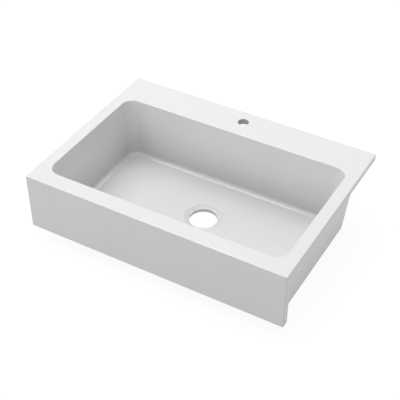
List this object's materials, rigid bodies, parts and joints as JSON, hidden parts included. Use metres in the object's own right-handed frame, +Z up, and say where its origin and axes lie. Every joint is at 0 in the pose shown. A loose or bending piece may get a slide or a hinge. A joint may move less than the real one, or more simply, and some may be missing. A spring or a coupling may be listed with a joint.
{
  "type": "apron front kitchen sink",
  "caption": "Apron front kitchen sink: a flat deck with a tap ledge over a deep coved bowl, a short flat front panel, and open tap and drain holes.",
  "frame": {"origin": "middle of the sink's outline, on the plane that the flat bottom of the bowl stands on", "axes": "+X to the right along the apron, +Y from the apron to the tap ledge, +Z up"},
  "size_m": [0.86, 0.618, 0.225],
  "materials": {
    "glaze": "gloss",
    "seal": "matte"
  },
  "bodies": {
    "root": {"deck": "glaze", "bowl": "glaze", "apron": "glaze", "apron_web_1": "glaze", "apron_web_2": "glaze", "apron_web_3": "glaze", "apron_web_4": "glaze", "rim_seal_left": "seal", "rim_seal_right": "seal", "rim_seal_back": "seal"}
  },
  "joints": []
}
